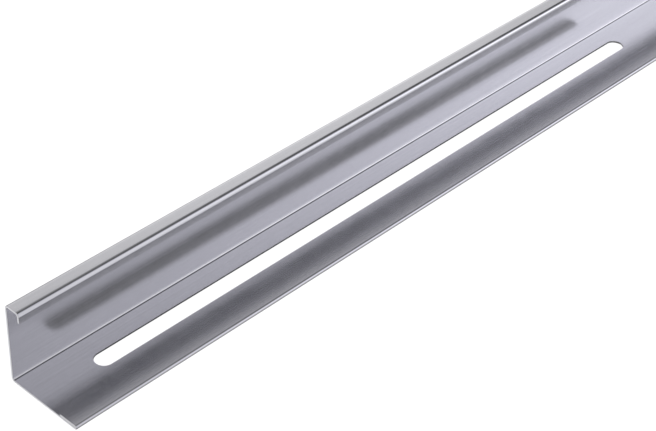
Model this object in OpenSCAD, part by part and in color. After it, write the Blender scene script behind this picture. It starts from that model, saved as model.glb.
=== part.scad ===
// Solar mounting cross rail: galvanised steel strip, cold rolled into an open channel.
// The slotted flange lies flat, and the strip is folded on from both of its edges:
// at the back up into the web, the top flange and the lip, at the front over into the hem.
// The rail lies along X on its wide flange, with the open side towards -Y.

/* [Rail] */
// Length of the rail as sold
rail_len = 2100; // [420:10:6300]
// Thickness of the coated steel strip
sheet_t = 1; // [0.6:0.1:2]
// Inside radius of the three square bends
bend_r = 1; // [0.5:0.1:3]

/* [Section] */
// Height of the web, over the outside of the bends
web_h = 40; // [25:0.5:80]
// Width of the slotted flange, from the back of the web to the front of the hem
flange_w = 40; // [32:0.5:80]
// Width of the narrow top flange, over the outside of its bends
top_w = 8.5; // [8:0.5:20]
// Height of the lip that turns down from the top flange
lip_h = 5; // [4:0.5:15]
// Width of the hem folded back onto the slotted flange
hem_w = 10; // [5:0.5:11]
// Air gap left inside the hem by the fold
hem_gap = 0.15; // [0.1:0.05:0.4]

/* [Slots] */
// Length of one slot over its round ends
slot_len = 360; // [60:10:380]
// Width of one slot, clearance for an M8 bolt
slot_w = 9; // [6:0.5:10]
// Unslotted metal between two slots
slot_bridge = 60; // [30:5:200]
// Distance from the back of the web to the centre line of the slots
slot_centre = 16.5; // [10:0.5:18]

/* [Hidden] */
$fn = 96;
corner = 90;
hem_fold = 180;
punch_over = 2;
seam_lap = sheet_t / 10;
hem_r = hem_gap / 2;
bend_out = bend_r + sheet_t;
hem_out = hem_r + sheet_t;
flange_flat = flange_w - hem_out - bend_out;
slot_pitch = slot_len + slot_bridge;
slot_n = max(1, floor(rail_len / slot_pitch));
zinc = [0.72, 0.72, 0.76];

// Each fold: its angle, its inside radius and the straight leg that follows it.
// The hem is turned over in two equal passes with no leg between them.
back_folds = [
  [corner, bend_r, web_h - 2 * bend_out],
  [corner, bend_r, top_w - 2 * bend_out],
  [corner, bend_r, lip_h - bend_out]
];
front_folds = [
  [hem_fold / 2, hem_r, 0],
  [hem_fold / 2, hem_r, hem_w - hem_out]
];

// A patch inside the strip that carries it across the line where a leg meets a bend
module seam(r) {
  translate([0, -r - sheet_t / 2]) square([2 * seam_lap, sheet_t - 2 * seam_lap], center = true);
}

// A bend round its own centre, starting straight below it and turning to the left:
// the part of a ring that lies past the leg before it and short of the leg after it
module bend(angle, r) {
  out = r + sheet_t;
  half_plane = [2 * out, 4 * out];
  intersection() {
    difference() {
      circle(r = out);
      circle(r = r);
    }
    translate([0, -2 * out]) square(half_plane);
    rotate(angle) translate([-2 * out, -2 * out]) square(half_plane);
  }
  seam(r);
  rotate(angle) seam(r);
}

// A straight leg of strip along X, with its inside face on Y = 0
module leg(length) {
  translate([0, -sheet_t]) square([length, sheet_t]);
}

// The strip from fold i onwards: the bend, the leg after it, then the next fold
module fold_on(folds, i = 0) {
  if (i < len(folds)) {
    angle = folds[i][0];
    r = folds[i][1];
    flat = folds[i][2];
    translate([0, r]) {
      bend(angle, r);
      rotate(angle) translate([0, -r]) {
        if (flat > 0) leg(flat);
        translate([flat, 0]) fold_on(folds, i + 1);
      }
    }
  }
}

// The folded section, with the web on the right and the hem on the left
module section() {
  translate([hem_out - flange_w / 2, sheet_t]) {
    leg(flange_flat);
    translate([flange_flat, 0]) fold_on(back_folds);
    mirror([1, 0]) fold_on(front_folds);
  }
}

// One punched slot through the flange, centred on the origin
module slot_punch() {
  reach = slot_len - slot_w;
  translate([0, 0, -punch_over]) linear_extrude(sheet_t + 2 * punch_over) {
    square([reach, slot_w], center = true);
    for (side = [-1, 1]) translate([side * reach / 2, 0]) circle(d = slot_w);
  }
}

// The whole rail, in the order it is made: rolled to section, then punched
module cross_rail() {
  color(zinc) difference() {
    translate([-rail_len / 2, 0, 0]) rotate([90, 0, 90]) linear_extrude(rail_len) section();
    for (i = [0 : slot_n - 1])
      translate([(i - (slot_n - 1) / 2) * slot_pitch, flange_w / 2 - slot_centre, 0]) slot_punch();
  }
}

cross_rail();
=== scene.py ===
import math

import bmesh
import bpy
from mathutils import Matrix, Vector


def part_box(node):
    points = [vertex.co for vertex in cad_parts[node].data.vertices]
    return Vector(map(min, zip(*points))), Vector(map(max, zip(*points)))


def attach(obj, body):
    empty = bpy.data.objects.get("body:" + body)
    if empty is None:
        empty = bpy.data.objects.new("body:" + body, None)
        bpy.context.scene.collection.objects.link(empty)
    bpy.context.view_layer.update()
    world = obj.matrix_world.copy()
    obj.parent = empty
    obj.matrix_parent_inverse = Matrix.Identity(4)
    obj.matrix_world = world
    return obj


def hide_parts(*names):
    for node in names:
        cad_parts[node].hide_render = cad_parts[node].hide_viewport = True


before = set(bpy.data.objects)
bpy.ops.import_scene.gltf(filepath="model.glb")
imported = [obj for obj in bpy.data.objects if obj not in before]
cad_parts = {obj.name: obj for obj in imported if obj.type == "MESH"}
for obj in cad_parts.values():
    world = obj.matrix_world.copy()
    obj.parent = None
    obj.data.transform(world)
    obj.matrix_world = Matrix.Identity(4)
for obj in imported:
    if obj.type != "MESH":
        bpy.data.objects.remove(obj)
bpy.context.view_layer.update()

# Cross rail: one length of zinc-coated steel strip, cold rolled into an open channel.
# The wide flange is punched with long round-ended slots before the rollers fold its
# back edge up into the web, top flange and lip, and its front edge over into a hem.
MM = 0.001
STRIP = 1.0 * MM
BEND = 1.0 * MM + STRIP / 2  # to the middle of the strip, as the hem's fold is
HEM_FOLD = 0.075 * MM + STRIP / 2
TOP_WIDTH = 8.5 * MM
LIP_HEIGHT = 5.0 * MM
HEM_WIDTH = 10.0 * MM
SLOT_LENGTH = 360.0 * MM
SLOT_WIDTH = 9.0 * MM
SLOT_PITCH = 420.0 * MM
SLOT_CENTRE = 16.5 * MM  # from the back of the web
SLOT_COUNT = 5
BEND_STEPS = 12
SLOT_STEPS = 24
WELD = 0.001 * MM
EDGE_ROUND = 0.1 * MM
EDGE_STEPS = 3
EDGE_ANGLE = math.radians(50)

low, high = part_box("cross_rail")
mid_plane = low.z + STRIP / 2
bend_in = BEND - STRIP / 2
bend_out = BEND + STRIP / 2
fold_out = HEM_FOLD + STRIP / 2
flange_back = high.y - bend_out
flange_front = low.y + fold_out
lip_bend = high.y - TOP_WIDTH + bend_out

bm = bmesh.new()


def punched_slot(centre):
    """Edges of one slot in the flat strip, from two half turns and the straights between them."""
    reach = (SLOT_LENGTH - SLOT_WIDTH) / 2
    ends = []
    for side in (1, -1):
        turn = centre + Vector((side * reach, 0, 0))
        start = bm.verts.new(turn - Vector((0, side * SLOT_WIDTH / 2, 0)))
        arc = bmesh.ops.spin(
            bm, geom=[start], cent=turn, axis=(0, 0, 1), angle=math.pi, steps=SLOT_STEPS)
        ends.append((start, arc["geom_last"][0]))
    (right_start, right_end), (left_start, left_end) = ends
    bm.edges.new((right_end, left_start))
    bm.edges.new((left_end, right_start))


def roll(edges, centre_y, centre_z, angle, steps):
    """Turn the strip's edge round a bend, and give back the edge that leaves the bend."""
    turned = bmesh.ops.spin(
        bm, geom=edges, cent=(0, centre_y, centre_z), axis=(1, 0, 0), angle=angle, steps=steps)
    return [part for part in turned["geom_last"] if isinstance(part, bmesh.types.BMEdge)]


def run_on(edges, y, z):
    """Carry the strip's edge on straight, and give back the edge at the end of the leg."""
    grown = bmesh.ops.extrude_edge_only(bm, edges=edges)["geom"]
    moved = [part for part in grown if isinstance(part, bmesh.types.BMVert)]
    bmesh.ops.translate(bm, vec=(0, y, z), verts=moved)
    return [part for part in grown if isinstance(part, bmesh.types.BMEdge)]


corners = [bm.verts.new((x, y, mid_plane)) for x, y in (
    (low.x, flange_front), (high.x, flange_front), (high.x, flange_back), (low.x, flange_back))]
border = [bm.edges.new((corners[i], corners[(i + 1) % 4])) for i in range(4)]
front_edge, back_edge = border[0], border[2]
for place in range(SLOT_COUNT):
    offset = (place - (SLOT_COUNT - 1) / 2) * SLOT_PITCH
    punched_slot(Vector((offset, high.y - SLOT_CENTRE, mid_plane)))
bmesh.ops.triangle_fill(bm, use_beauty=True, edges=bm.edges[:], normal=(0, 0, 1))

edge = roll([back_edge], flange_back, low.z + bend_out, math.pi / 2, BEND_STEPS)
edge = run_on(edge, 0, high.z - low.z - 2 * bend_out)
edge = roll(edge, flange_back, high.z - bend_out, math.pi / 2, BEND_STEPS)
edge = run_on(edge, 2 * bend_out - TOP_WIDTH, 0)
edge = roll(edge, lip_bend, high.z - bend_out, math.pi / 2, BEND_STEPS)
run_on(edge, 0, bend_out - LIP_HEIGHT)
edge = roll([front_edge], flange_front, low.z + fold_out, -math.pi, 2 * BEND_STEPS)
run_on(edge, HEM_WIDTH - fold_out, 0)
bmesh.ops.remove_doubles(bm, verts=bm.verts[:], dist=WELD)
bmesh.ops.recalc_face_normals(bm, faces=bm.faces[:])

rail_mesh = bpy.data.meshes.new("rail")
bm.to_mesh(rail_mesh)
bm.free()
rail_mesh.polygons.foreach_set("use_smooth", [True] * len(rail_mesh.polygons))
rail = bpy.data.objects.new("rail", rail_mesh)
bpy.context.scene.collection.objects.link(rail)

gauge = rail.modifiers.new("strip gauge", "SOLIDIFY")
gauge.thickness = STRIP
gauge.offset = 0
gauge.use_even_offset = True
gauge.material_offset_rim = 1
sheared = rail.modifiers.new("sheared edges", "BEVEL")
sheared.width = EDGE_ROUND
sheared.segments = EDGE_STEPS
sheared.profile = 0.5
sheared.limit_method = "ANGLE"
sheared.angle_limit = EDGE_ANGLE
flats = rail.modifiers.new("true flats", "WEIGHTED_NORMAL")
flats.mode = "FACE_AREA"
flats.keep_sharp = True


class Finish:
    """A value in a finish's nodes: sums on it add Math nodes, and node() adds any other kind."""

    def __init__(self, tree, socket=None):
        self.tree = tree
        self.socket = socket

    def node(self, kind, settings=None, values=None, out=0):
        made = self.tree.nodes.new(kind)
        for name, setting in (settings or {}).items():
            setattr(made, name, setting)
        for name, value in (values or {}).items():
            if isinstance(value, Finish):
                self.tree.links.new(value.socket, made.inputs[name])
            else:
                made.inputs[name].default_value = value
        return Finish(self.tree, made.outputs[out])

    def sum(self, operation, first, second):
        return self.node("ShaderNodeMath", {"operation": operation}, {0: first, 1: second})

    def __add__(self, other):
        return self.sum("ADD", self, other)

    def __sub__(self, other):
        return self.sum("SUBTRACT", self, other)

    def __rsub__(self, other):
        return self.sum("SUBTRACT", other, self)

    def __mul__(self, other):
        return self.sum("MULTIPLY", self, other)

    def __pow__(self, other):
        return self.sum("POWER", self, other)

    def __abs__(self):
        return self.node("ShaderNodeMath", {"operation": "ABSOLUTE"}, {0: self})

    __radd__ = __add__
    __rmul__ = __mul__

    def swing(self, amount):
        """How far this value is from its middle, in shares of an amount."""
        return amount * (self - 0.5)

    def along(self, axis):
        return self.node("ShaderNodeSeparateXYZ", {}, {"Vector": self}, out=axis)

    def noise(self, places, scale, detail):
        """Noise with its own scale in marks per metre along X, Y and Z."""
        stretched = self.node("ShaderNodeMapping", {}, {"Vector": places, "Scale": scale})
        return self.node("ShaderNodeTexNoise", {}, {"Vector": stretched, "Scale": 1.0, "Detail": detail})

    def fade(self, near, far):
        """One below near, nothing past far, with a soft step between."""
        ends = {"From Min": near, "From Max": far, "To Min": 1.0, "To Max": 0.0}
        return self.node("ShaderNodeMapRange", {"interpolation_type": "SMOOTHSTEP"}, {"Value": self, **ends})

    def colour(self, none, full):
        """The first colour where this value is nothing, the second where it is one."""
        return self.node("ShaderNodeMix", {"data_type": "RGBA"}, {0: self, 6: none, 7: full}, out=2)


def finish_of(name):
    """A new metal on the rail, with no marks on it yet."""
    material = bpy.data.materials.new(name)
    material.use_nodes = True
    rail_mesh.materials.append(material)
    shader = material.node_tree.nodes["Principled BSDF"]
    shader.inputs["Metallic"].default_value = 1.0
    return Finish(material.node_tree), shader


def lay_on(finish, shader, colour, roughness, relief, depth):
    """Give a metal its colour, its roughness and a relief of a depth in metres."""
    bump = finish.node("ShaderNodeBump", {}, {"Strength": 1.0, "Distance": depth, "Height": relief})
    for socket, value in (("Base Color", colour), ("Roughness", roughness), ("Normal", bump)):
        finish.tree.links.new(value.socket, shader.inputs[socket])


# The faces of the strip: bright zinc, with fine lines and broad bands from the rollers,
# faint clouds and small crystals from the bath, rubbed smoother inside the bends and on the hem.
ZINC_LIGHT = (0.790, 0.789, 0.810, 1)
ZINC_DULL = (0.640, 0.639, 0.656, 1)
ZINC_ROUGHNESS = 0.20
ZINC_RELIEF = 0.0025 * MM
ROLL_LINES = (5, 2500, 2500)
ROLL_BANDS = (1.5, 160, 160)
CLOUDS = (14, 45, 45)
CRYSTALS = 190.0
RUBBED_FROM = 1.2  # in radii of the bend, as the next
RUBBED_TO = 1.8
RUBBED_SMOOTHER = 0.04

zinc, zinc_shader = finish_of("bright zinc")
places = zinc.node("ShaderNodeTexCoord", out="Object")
roll_lines = zinc.noise(places, ROLL_LINES, 3.0)
roll_bands = zinc.noise(places, ROLL_BANDS, 2.0)
clouds = zinc.noise(places, CLOUDS, 3.0)
crystals = zinc.node(
    "ShaderNodeTexVoronoi", {"feature": "F1"}, {"Vector": places, "Scale": CRYSTALS}, out="Color")
crystal = zinc.node("ShaderNodeSeparateColor", {}, {"Color": crystals}, out="Red")
height_here = places.along("Z")
depth_here = places.along("Y")
burnish = None
for bend_y, bend_z, radius in (
        (flange_back, low.z + bend_out, bend_in),
        (flange_back, high.z - bend_out, bend_in),
        (lip_bend, high.z - bend_out, bend_in),
        (flange_front, low.z + fold_out, fold_out)):
    away = ((depth_here - bend_y) ** 2 + (height_here - bend_z) ** 2) ** 0.5
    rubbed = away.fade(RUBBED_FROM * radius, RUBBED_TO * radius)
    burnish = rubbed if burnish is None else burnish + rubbed
tone = 0.5 + roll_lines.swing(0.8) + roll_bands.swing(0.2) + clouds.swing(0.2) + crystal.swing(0.1)
zinc_roughness = (ZINC_ROUGHNESS + clouds.swing(0.06) + roll_lines.swing(0.08)
                  + crystal.swing(0.02) - RUBBED_SMOOTHER * burnish)
zinc_colour = tone.colour(ZINC_DULL, ZINC_LIGHT)
lay_on(zinc, zinc_shader, zinc_colour, zinc_roughness, roll_lines + 0.2 * crystal, ZINC_RELIEF)

# The sheared edges of the strip: bare steel, torn upwards by the blade or the punch.
# The cut ends keep the steel bright, and the walls of the slots and the slit edges are the same steel
# painted dark as shade.
CUT_BRIGHT = (0.74, 0.74, 0.76, 1)
CUT_DULL = (0.60, 0.60, 0.61, 1)
# Painted shade: darker copies of the steel for the slot walls and the slit edges
PUNCHED_SHADED_BRIGHT = (0.38, 0.38, 0.39, 1)
PUNCHED_SHADED_DULL = (0.25, 0.25, 0.255, 1)
EDGE_ROUGHNESS = 0.34
EDGE_RELIEF = 0.01 * MM
TEARS = (2600, 2600, 700)
CUT_END = 1 * MM  # the bright cut's reach from each end of the rail; past it the edges are painted dark as shade

sheared_edge, edge_shader = finish_of("sheared edge")
places = sheared_edge.node("ShaderNodeTexCoord", out="Object")
tears = sheared_edge.noise(places, TEARS, 2.0)
# Away from the ends of the rail, the edges get the painted shade
shaded_off_the_ends = abs(places.along("X")).fade(high.x - 2 * CUT_END, high.x - CUT_END)
edge_colour_and_shade = shaded_off_the_ends.colour(
    tears.colour(CUT_DULL, CUT_BRIGHT), tears.colour(PUNCHED_SHADED_DULL, PUNCHED_SHADED_BRIGHT))
lay_on(sheared_edge, edge_shader, edge_colour_and_shade, EDGE_ROUGHNESS + tears.swing(0.12), tears, EDGE_RELIEF)

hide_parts("cross_rail")
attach(rail, "root")

# Studio floor: a plain sheet of pale matt board, lit so evenly that it reads as white.
# The rail lies loose on it, and its metal shows the panels of light and not the floor.
FLOOR_REACH = 12.0
FLOOR_PAINT = (0.35, 0.35, 0.35, 1)
FLOOR_GLOW = 0.92

floor_bm = bmesh.new()
bmesh.ops.create_grid(floor_bm, x_segments=1, y_segments=1, size=FLOOR_REACH)
floor_mesh = bpy.data.meshes.new("floor")
floor_bm.to_mesh(floor_mesh)
floor_bm.free()
floor = bpy.data.objects.new("floor", floor_mesh)
bpy.context.scene.collection.objects.link(floor)
floor.visible_glossy = False
pale = bpy.data.materials.new("pale floor")
pale.use_nodes = True
paint = pale.node_tree.nodes["Principled BSDF"]
paint.inputs["Base Color"].default_value = FLOOR_PAINT
paint.inputs["Roughness"].default_value = 1.0
paint.inputs["Specular IOR Level"].default_value = 0.0
paint.inputs["Emission Color"].default_value = (1, 1, 1, 1)
paint.inputs["Emission Strength"].default_value = FLOOR_GLOW
floor_mesh.materials.append(pale)

# Studio light: soft round panels hung all round the rail in a dim room, with a white backdrop.
# Each panel is brightest at its middle and fades evenly, and the metal shows it in its flats and
# bends. Those that light the open side's flats are as cool as daylight, the others plain white.
ROOM_GLOW = 0.04
DAYLIGHT = (0.99, 0.99, 1.083)
WHITE = (1.0, 0.996, 1.02)
DAYLIGHT_PANELS = (  # azimuth and elevation of the middle in degrees, tightness, brightness
    (-27, 21, 25, 0.70),
    (-37, 21, 25, 1.07),
    (-57, 37, 25, 0.535),
    (-63, -19, 25, 0.73),
    (-36, -18, 25, 0.31),
)
WHITE_PANELS = (
    (-57, 6, 25, 0.77),  # along the lip and the hem
    (43, 18.5, 25, 1.08),  # this and the next two on the top flange
    (56, 29, 25, 0.525),
    (42, 66, 25, 0.38),
    (122, -42, 17, 0.90),  # on the cut ends
    (0, 12, 30, 0.60),  # this and the rest for the rail's other sides
    (48, -20, 12, 0.28),
    (180, 74, 20, 0.90),
    (150, 35, 8, 0.80),
    (-150, 35, 8, 0.80),
    (95, 35, 12, 0.70),
    (100, -30, 16, 0.75),
    (-105, 22, 12, 0.80),
    (-108, -22, 16, 0.60),
    (150, -30, 8, 0.20),
    (-150, -25, 8, 0.50),
)
studio = bpy.data.worlds.new("studio")
studio.use_nodes = True
room = Finish(studio.node_tree)
sight_line = room.node("ShaderNodeTexCoord", out="Generated")


def glow_of(panels, start):
    """Brightness of a set of panels, added to a start value, along any line of sight."""
    glow = start
    for azimuth, elevation, tightness, brightness in panels:
        turn, rise = math.radians(azimuth), math.radians(elevation)
        middle = (math.cos(rise) * math.cos(turn), math.cos(rise) * math.sin(turn), math.sin(rise))
        facing = room.node(
            "ShaderNodeVectorMath", {"operation": "DOT_PRODUCT"}, {0: sight_line, 1: middle}, out="Value")
        fading = room.node("ShaderNodeMath", {"operation": "EXPONENT"}, {0: tightness * (facing - 1)})
        glow = glow + brightness * fading
    return glow


def tinted(tint, glow):
    """Light of one tint, as bright as the glow along each line of sight."""
    return room.node("ShaderNodeVectorMath", {"operation": "SCALE"}, {0: tint, "Scale": glow})


cool = tinted(DAYLIGHT, glow_of(DAYLIGHT_PANELS, 0))
plain = tinted(WHITE, glow_of(WHITE_PANELS, ROOM_GLOW))
all_light = room.node("ShaderNodeVectorMath", {"operation": "ADD"}, {0: cool, 1: plain})
lit = room.node("ShaderNodeBackground", {}, {"Color": all_light})
backdrop = room.node("ShaderNodeBackground", {}, {"Color": (1, 1, 1, 1)})
seen = room.node("ShaderNodeLightPath", out="Is Camera Ray")
shown = room.node("ShaderNodeMixShader", {}, {0: seen, 1: lit, 2: backdrop})
studio.node_tree.links.new(shown.socket, studio.node_tree.nodes["World Output"].inputs["Surface"])
bpy.context.scene.world = studio

# Camera: a long lens beyond the rail's near end, in front of its open side, as in the photograph.
# It looks down along the rail, tipped a little to one side. Its place is given from the corner
# on the floor where the back of the web meets the near end.
CAMERA_AZIMUTH = math.radians(41.901)
CAMERA_ELEVATION = math.radians(37.337)
CAMERA_ROLL = math.radians(2.663)
CAMERA_FROM_END = Vector((-300.47, -435.52, 482.91)) * MM
FOCAL_PIXELS = 1751.7
IMAGE_WIDTH = 656
SENSOR_WIDTH = 36.0

sight = Vector((math.cos(CAMERA_ELEVATION) * math.cos(CAMERA_AZIMUTH),
                math.cos(CAMERA_ELEVATION) * math.sin(CAMERA_AZIMUTH),
                -math.sin(CAMERA_ELEVATION)))
level = sight.cross(Vector((0, 0, 1))).normalized()
upright = level.cross(sight)
across = math.cos(CAMERA_ROLL) * level + math.sin(CAMERA_ROLL) * upright
above = math.cos(CAMERA_ROLL) * upright - math.sin(CAMERA_ROLL) * level
aim = Matrix((
    (across.x, above.x, -sight.x),
    (across.y, above.y, -sight.y),
    (across.z, above.z, -sight.z)))
near_corner = Vector((low.x, high.y, low.z))
lens = bpy.data.cameras.new("camera")
lens.sensor_width = SENSOR_WIDTH
lens.lens = FOCAL_PIXELS * SENSOR_WIDTH / IMAGE_WIDTH
camera = bpy.data.objects.new("camera", lens)
bpy.context.scene.collection.objects.link(camera)
camera.matrix_world = Matrix.Translation(near_corner + CAMERA_FROM_END) @ aim.to_4x4()
bpy.context.scene.camera = camera
bpy.context.scene.view_settings.view_transform = "Standard"
